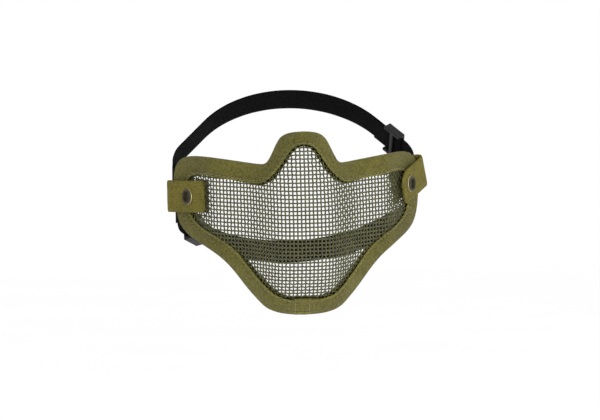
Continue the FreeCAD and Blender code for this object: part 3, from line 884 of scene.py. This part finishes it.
def press_stud(side):
    """Cap with a rolled rim and sunk middle, its socket, and the stud and post below."""
    flap = side + "_flap"
    top = FLAP_LEVEL + WEB_THICK / 2
    cap = [(0.0, top + 0.30)] + arc_profile(2.7, top + 0.95, 0.65, -80, 20, 4)
    cap += arc_profile(5.55, top + 0.55, 1.15, 140, -30, 10)
    cap += [(6.7, top - 0.15), (2.1, top - 0.15), (2.1, top - 1.3), (0.0, top - 1.3)]
    turned(side + "_stud_cap", side + "_snap_cap", cap, side, flap, recess=6, wall=(12, 17))
    low = FLAP_LEVEL - WEB_THICK / 2
    socket = [(3.5, low)] + arc_profile(4.0, 4.75, 0.6, 180, 270, 5)
    socket += arc_profile(5.4, 4.75, 0.6, 270, 360, 5) + [(6.0, low)]
    turned(side + "_stud_socket", side + "_snap_socket", socket, side, flap)
    knob = [(0.0, 5.4)] + arc_profile(2.5, 4.8, 0.6, 90, -30, 6)
    knob += [(2.5, 4.1), (2.6, 3.8), (5.5, 3.75), (5.8, 3.45), (5.6, 3.15), (0.0, 3.15)]
    turned(side + "_stud_knob", side + "_snap_stud", knob, side, "mask")
    back = BASE_LEVEL - WEB_THICK / 2
    post = [(0.0, 4.0), (1.75, 4.0), (1.75, back), (5.6, back)]
    post += arc_profile(5.5, back - 0.4, 0.4, 60, -90, 6)
    post += [(3.0, back - 0.8), (2.4, back - 0.45), (0.0, back - 0.4)]
    turned(side + "_stud_post", side + "_snap_post", post, side, "mask")


# ---- straps ----
STRAP_WIDTH, STRAP_THICK, TAIL_THICK = 20.0, 1.4, 1.2
STRAP_START = {"upper": 20.0, "lower": 16.5}
STRAP_LEAD = {"upper": 15.0, "lower": 13.0}
STRAP_TURN, STRAP_TURN_R, STRAP_RUN = math.radians(36.0), 30.0, 36.0
LEAD_STEPS, TURN_STEPS, RUN_STEPS, ROUND_STEPS, TAIL_STEPS = 6, 6, 16, 32, 12
TAIL_FROM, TAIL_END = 3.0, 34.0            # the loose tail's reach along the second run
ANCHOR_X, ANCHOR_THICK, STRAP_CLEARANCE = 95.4, 1.4, 0.1
SLIDER_SIDE = {"upper": 1.0, "lower": -1.0}
SEAM_HALF, SEAM_PITCH = 7.0, 2.6           # half width of the sewn box, and one stitch


def strap_line(kind):
    """Half of the strap's middle line in its flat plane, as (point, outward normal) pairs.

    Also gives the start and the direction of its second run, where the slider is."""
    step_out = (ANCHOR_THICK + STRAP_THICK) / 2 + STRAP_CLEARANCE
    x = ANCHOR_X + (step_out if kind == "upper" else -step_out)
    start, lead = STRAP_START[kind], STRAP_LEAD[kind]
    line = []
    for k in range(LEAD_STEPS + 1):
        line.append((Vector((x, start + lead * k / LEAD_STEPS)), Vector((1.0, 0.0))))
    hub = Vector((x - STRAP_TURN_R, start + lead))
    for k in range(1, TURN_STEPS + 1):
        angle = STRAP_TURN * k / TURN_STEPS
        normal = Vector((math.cos(angle), math.sin(angle)))
        line.append((hub + normal * STRAP_TURN_R, normal))
    heading = Vector((-math.sin(STRAP_TURN), math.cos(STRAP_TURN)))
    corner, normal = line[-1]
    for k in range(1, RUN_STEPS + 1):
        line.append((corner + heading * STRAP_RUN * k / RUN_STEPS, normal))
    end = line[-1][0]
    radius = end.x / math.cos(STRAP_TURN)
    hub = Vector((0.0, end.y - radius * math.sin(STRAP_TURN)))
    for k in range(1, ROUND_STEPS + 1):
        angle = STRAP_TURN + (math.pi / 2 - STRAP_TURN) * k / ROUND_STEPS
        normal = Vector((math.cos(angle), math.sin(angle)))
        line.append((hub + normal * radius, normal))
    return line, corner, heading


def tilt_point(kind, x, along, up):
    """From the strap's flat plane, in mm, to the model's frame, in metres."""
    tilt = math.radians(STRAP_TILT[kind])
    y = along * math.cos(tilt) - up * math.sin(tilt)
    return Vector((x, y, along * math.sin(tilt) + up * math.cos(tilt))) * MM


def band_piece(name, kind, line, thick, seed):
    """Flat band along a line of (point, normal), with rounded edges and slight ripples."""
    section = band_section(10, thin=0.3)
    rows, lengths = [], [0.0]
    for k, (point, normal) in enumerate(line):
        if k:
            lengths.append(lengths[-1] + (point - line[k - 1][0]).length)
        row = []
        for w, t in section:
            wave = 0.06 * noise.noise(Vector((lengths[-1] * 0.09, w, seed)))
            place = point + normal * (thick / 2 * t + wave)
            row.append(tilt_point(kind, place.x, place.y, w * STRAP_WIDTH / 2))
        rows.append(row)
    vertices, faces, uvs = ring_strip(rows, False, lengths, band_widths(section, STRAP_WIDTH))
    cap_ends(faces, uvs, len(rows), len(section))
    piece = make_piece(name, vertices, faces, ELASTIC, uvs=uvs)
    return piece


def mirrored(line):
    """The same line on the other side of the mask."""
    return [(Vector((-p.x, p.y)), Vector((-n.x, n.y))) for p, n in line]


def straps():
    """Both elastic straps, each with its loose tail and its sewn box."""
    for kind in ("upper", "lower"):
        line, corner, heading = strap_line(kind)
        whole = line + mirrored(line[:-1])[::-1]
        band = band_piece(kind + "_elastic", kind, whole, STRAP_THICK, seed=4.0)
        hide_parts(kind + "_strap")
        normal = Vector((heading.y, -heading.x))
        inset = normal * -(STRAP_THICK + TAIL_THICK) / 2
        tail = []
        for k in range(TAIL_STEPS + 1):
            reach = TAIL_FROM + (TAIL_END - TAIL_FROM) * k / TAIL_STEPS
            tail.append((corner + inset + heading * reach, normal))
        if SLIDER_SIDE[kind] < 0:
            tail = mirrored(tail)
        band = band_piece(kind + "_elastic_tail", kind, tail, TAIL_THICK - 0.1, seed=8.0)
        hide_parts(kind + "_strap_tail")
        strap_stitches(kind, line)


def strap_stitches(kind, line):
    """Box and cross of black thread where the strap is sewn to its anchor."""
    vertices, faces = [], []
    first, last = line[1][0], line[5][0]
    corners = [(first.y, -SEAM_HALF), (last.y, -SEAM_HALF), (last.y, SEAM_HALF), (first.y, SEAM_HALF)]
    runs = [(corners[k], corners[(k + 1) % 4]) for k in range(4)]
    runs += [(corners[0], corners[2]), (corners[1], corners[3])]
    outer = 1.0 if kind == "upper" else -1.0
    face = first.x + outer * STRAP_THICK / 2
    for sign in (1.0, -1.0):
        out = Vector((sign, 0, 0)) * outer
        for (y0, w0), (y1, w1) in runs:
            count = int(math.hypot(y1 - y0, w1 - w0) / SEAM_PITCH)
            for k in range(count):
                t0, t1 = (k + 0.1) / count, (k + 0.85) / count
                a = tilt_point(kind, sign * face, y0 + (y1 - y0) * t0, w0 + (w1 - w0) * t0)
                b = tilt_point(kind, sign * face, y0 + (y1 - y0) * t1, w0 + (w1 - w0) * t1)
                stitch(vertices, faces, a, b, out, FINE_STITCH_R)
    make_piece(kind + "_strap_stitching", vertices, faces, BLACK_THREAD)


# ---- sliders and strap anchors ----
FLAT_ANGLE, SHARP_ANGLE = math.radians(2.0), 0.5      # radians between two faces


def softened(node, name, body, material, width, segments, uv_axes=None):
    """A copy of a CAD node's mesh with its edges rounded to width, in mm, which replaces it."""
    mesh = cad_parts[node].data.copy()
    piece = bpy.data.objects.new(name, mesh)
    bpy.context.scene.collection.objects.link(piece)
    edit = bmesh.new()
    edit.from_mesh(mesh)
    bmesh.ops.remove_doubles(edit, verts=edit.verts, dist=MERGE_DISTANCE)
    bmesh.ops.dissolve_limit(edit, angle_limit=FLAT_ANGLE, verts=edit.verts, edges=edit.edges)
    inner = [edge for edge in edit.edges if len(edge.link_faces) == 2]
    sharp = [edge for edge in inner if edge.calc_face_angle() > SHARP_ANGLE]
    bmesh.ops.bevel(edit, geom=sharp, offset=width * MM, segments=segments, affect="EDGES", profile=0.5)
    bmesh.ops.triangulate(edit, faces=[f for f in edit.faces if len(f.verts) > 4])
    for layer in list(edit.loops.layers.uv.values()):
        edit.loops.layers.uv.remove(layer)
    if uv_axes:
        layer = edit.loops.layers.uv.new("tape")
        for face in edit.faces:
            for loop in face.loops:
                place = loop.vert.co / MM
                loop[layer].uv = (place[uv_axes[0]] + place[0] * 0.5, place[uv_axes[1]])
    edit.to_mesh(mesh)
    edit.free()
    mesh.materials.clear()
    mesh.materials.append(material)
    mesh.polygons.foreach_set("use_smooth", [False] * len(mesh.polygons))
    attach(piece, body)
    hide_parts(node)


def hardware():
    """The two sliders and the two webbing tongues that carry the straps."""
    for kind in ("upper", "lower"):
        softened(kind + "_slider", kind + "_triglide", kind + "_adjuster", PLASTIC,
                 width=0.62, segments=4)
    for side in ("left", "right"):
        softened(side + "_strap_anchor", side + "_anchor_webbing", "mask", ELASTIC,
                 width=0.3, segments=2, uv_axes=(1, 2))


# ---- floor and light ----
def add_stage():
    """Plain pale floor below the mask, which hangs as it would on a head."""
    mesh = bpy.data.meshes.new("floor")
    size, level = 6.0, -0.42
    corners = [(-size, -size, level), (size, -size, level), (size, size, level), (-size, size, level)]
    mesh.from_pydata(corners, [], [(0, 1, 2, 3)])
    n = Nodes("floor_paint")
    place = n.add("ShaderNodeTexCoord").outputs["Object"]
    tone = n.ramp(n.noise(place, scale=3.0), ((0.3, grey(0.985)), (0.7, grey(1.0))))
    n.link(tone, n.shader.inputs["Base Color"])
    n.shader.inputs["Roughness"].default_value = 0.9
    mesh.materials.append(n.material)
    floor = bpy.data.objects.new("floor", mesh)
    bpy.context.scene.collection.objects.link(floor)


def area_light(name, place, size, power):
    """Round soft light that points at the mask; metres and watts."""
    data = bpy.data.lights.new(name, "AREA")
    data.shape = "DISK"
    data.size = size
    data.energy = power
    lamp = bpy.data.objects.new(name, data)
    lamp.location = place
    lamp.rotation_euler = Vector(place).to_track_quat("Z", "Y").to_euler()
    bpy.context.scene.collection.objects.link(lamp)


def add_light():
    """White surroundings and three soft lamps."""
    world = bpy.data.worlds.new("studio")
    world.use_nodes = True
    world.node_tree.nodes["Background"].inputs[0].default_value = (1.0, 1.0, 1.0, 1.0)
    world.node_tree.nodes["Background"].inputs[1].default_value = 1.0
    bpy.context.scene.world = world
    area_light("key", (0.3, -1.8, -0.3), size=0.9, power=12.0)
    area_light("fill", (1.2, -1.3, 0.6), size=1.0, power=7.0)
    area_light("back", (0.2, 1.4, 0.9), size=1.2, power=8.0)


woven_wires()
edge_tape()
foam_strip()
edge_stitching()
lap_join()
for tab_side in ("left", "right"):
    tab_webbing(tab_side)
    press_stud(tab_side)
straps()
hardware()
add_stage()
add_light()
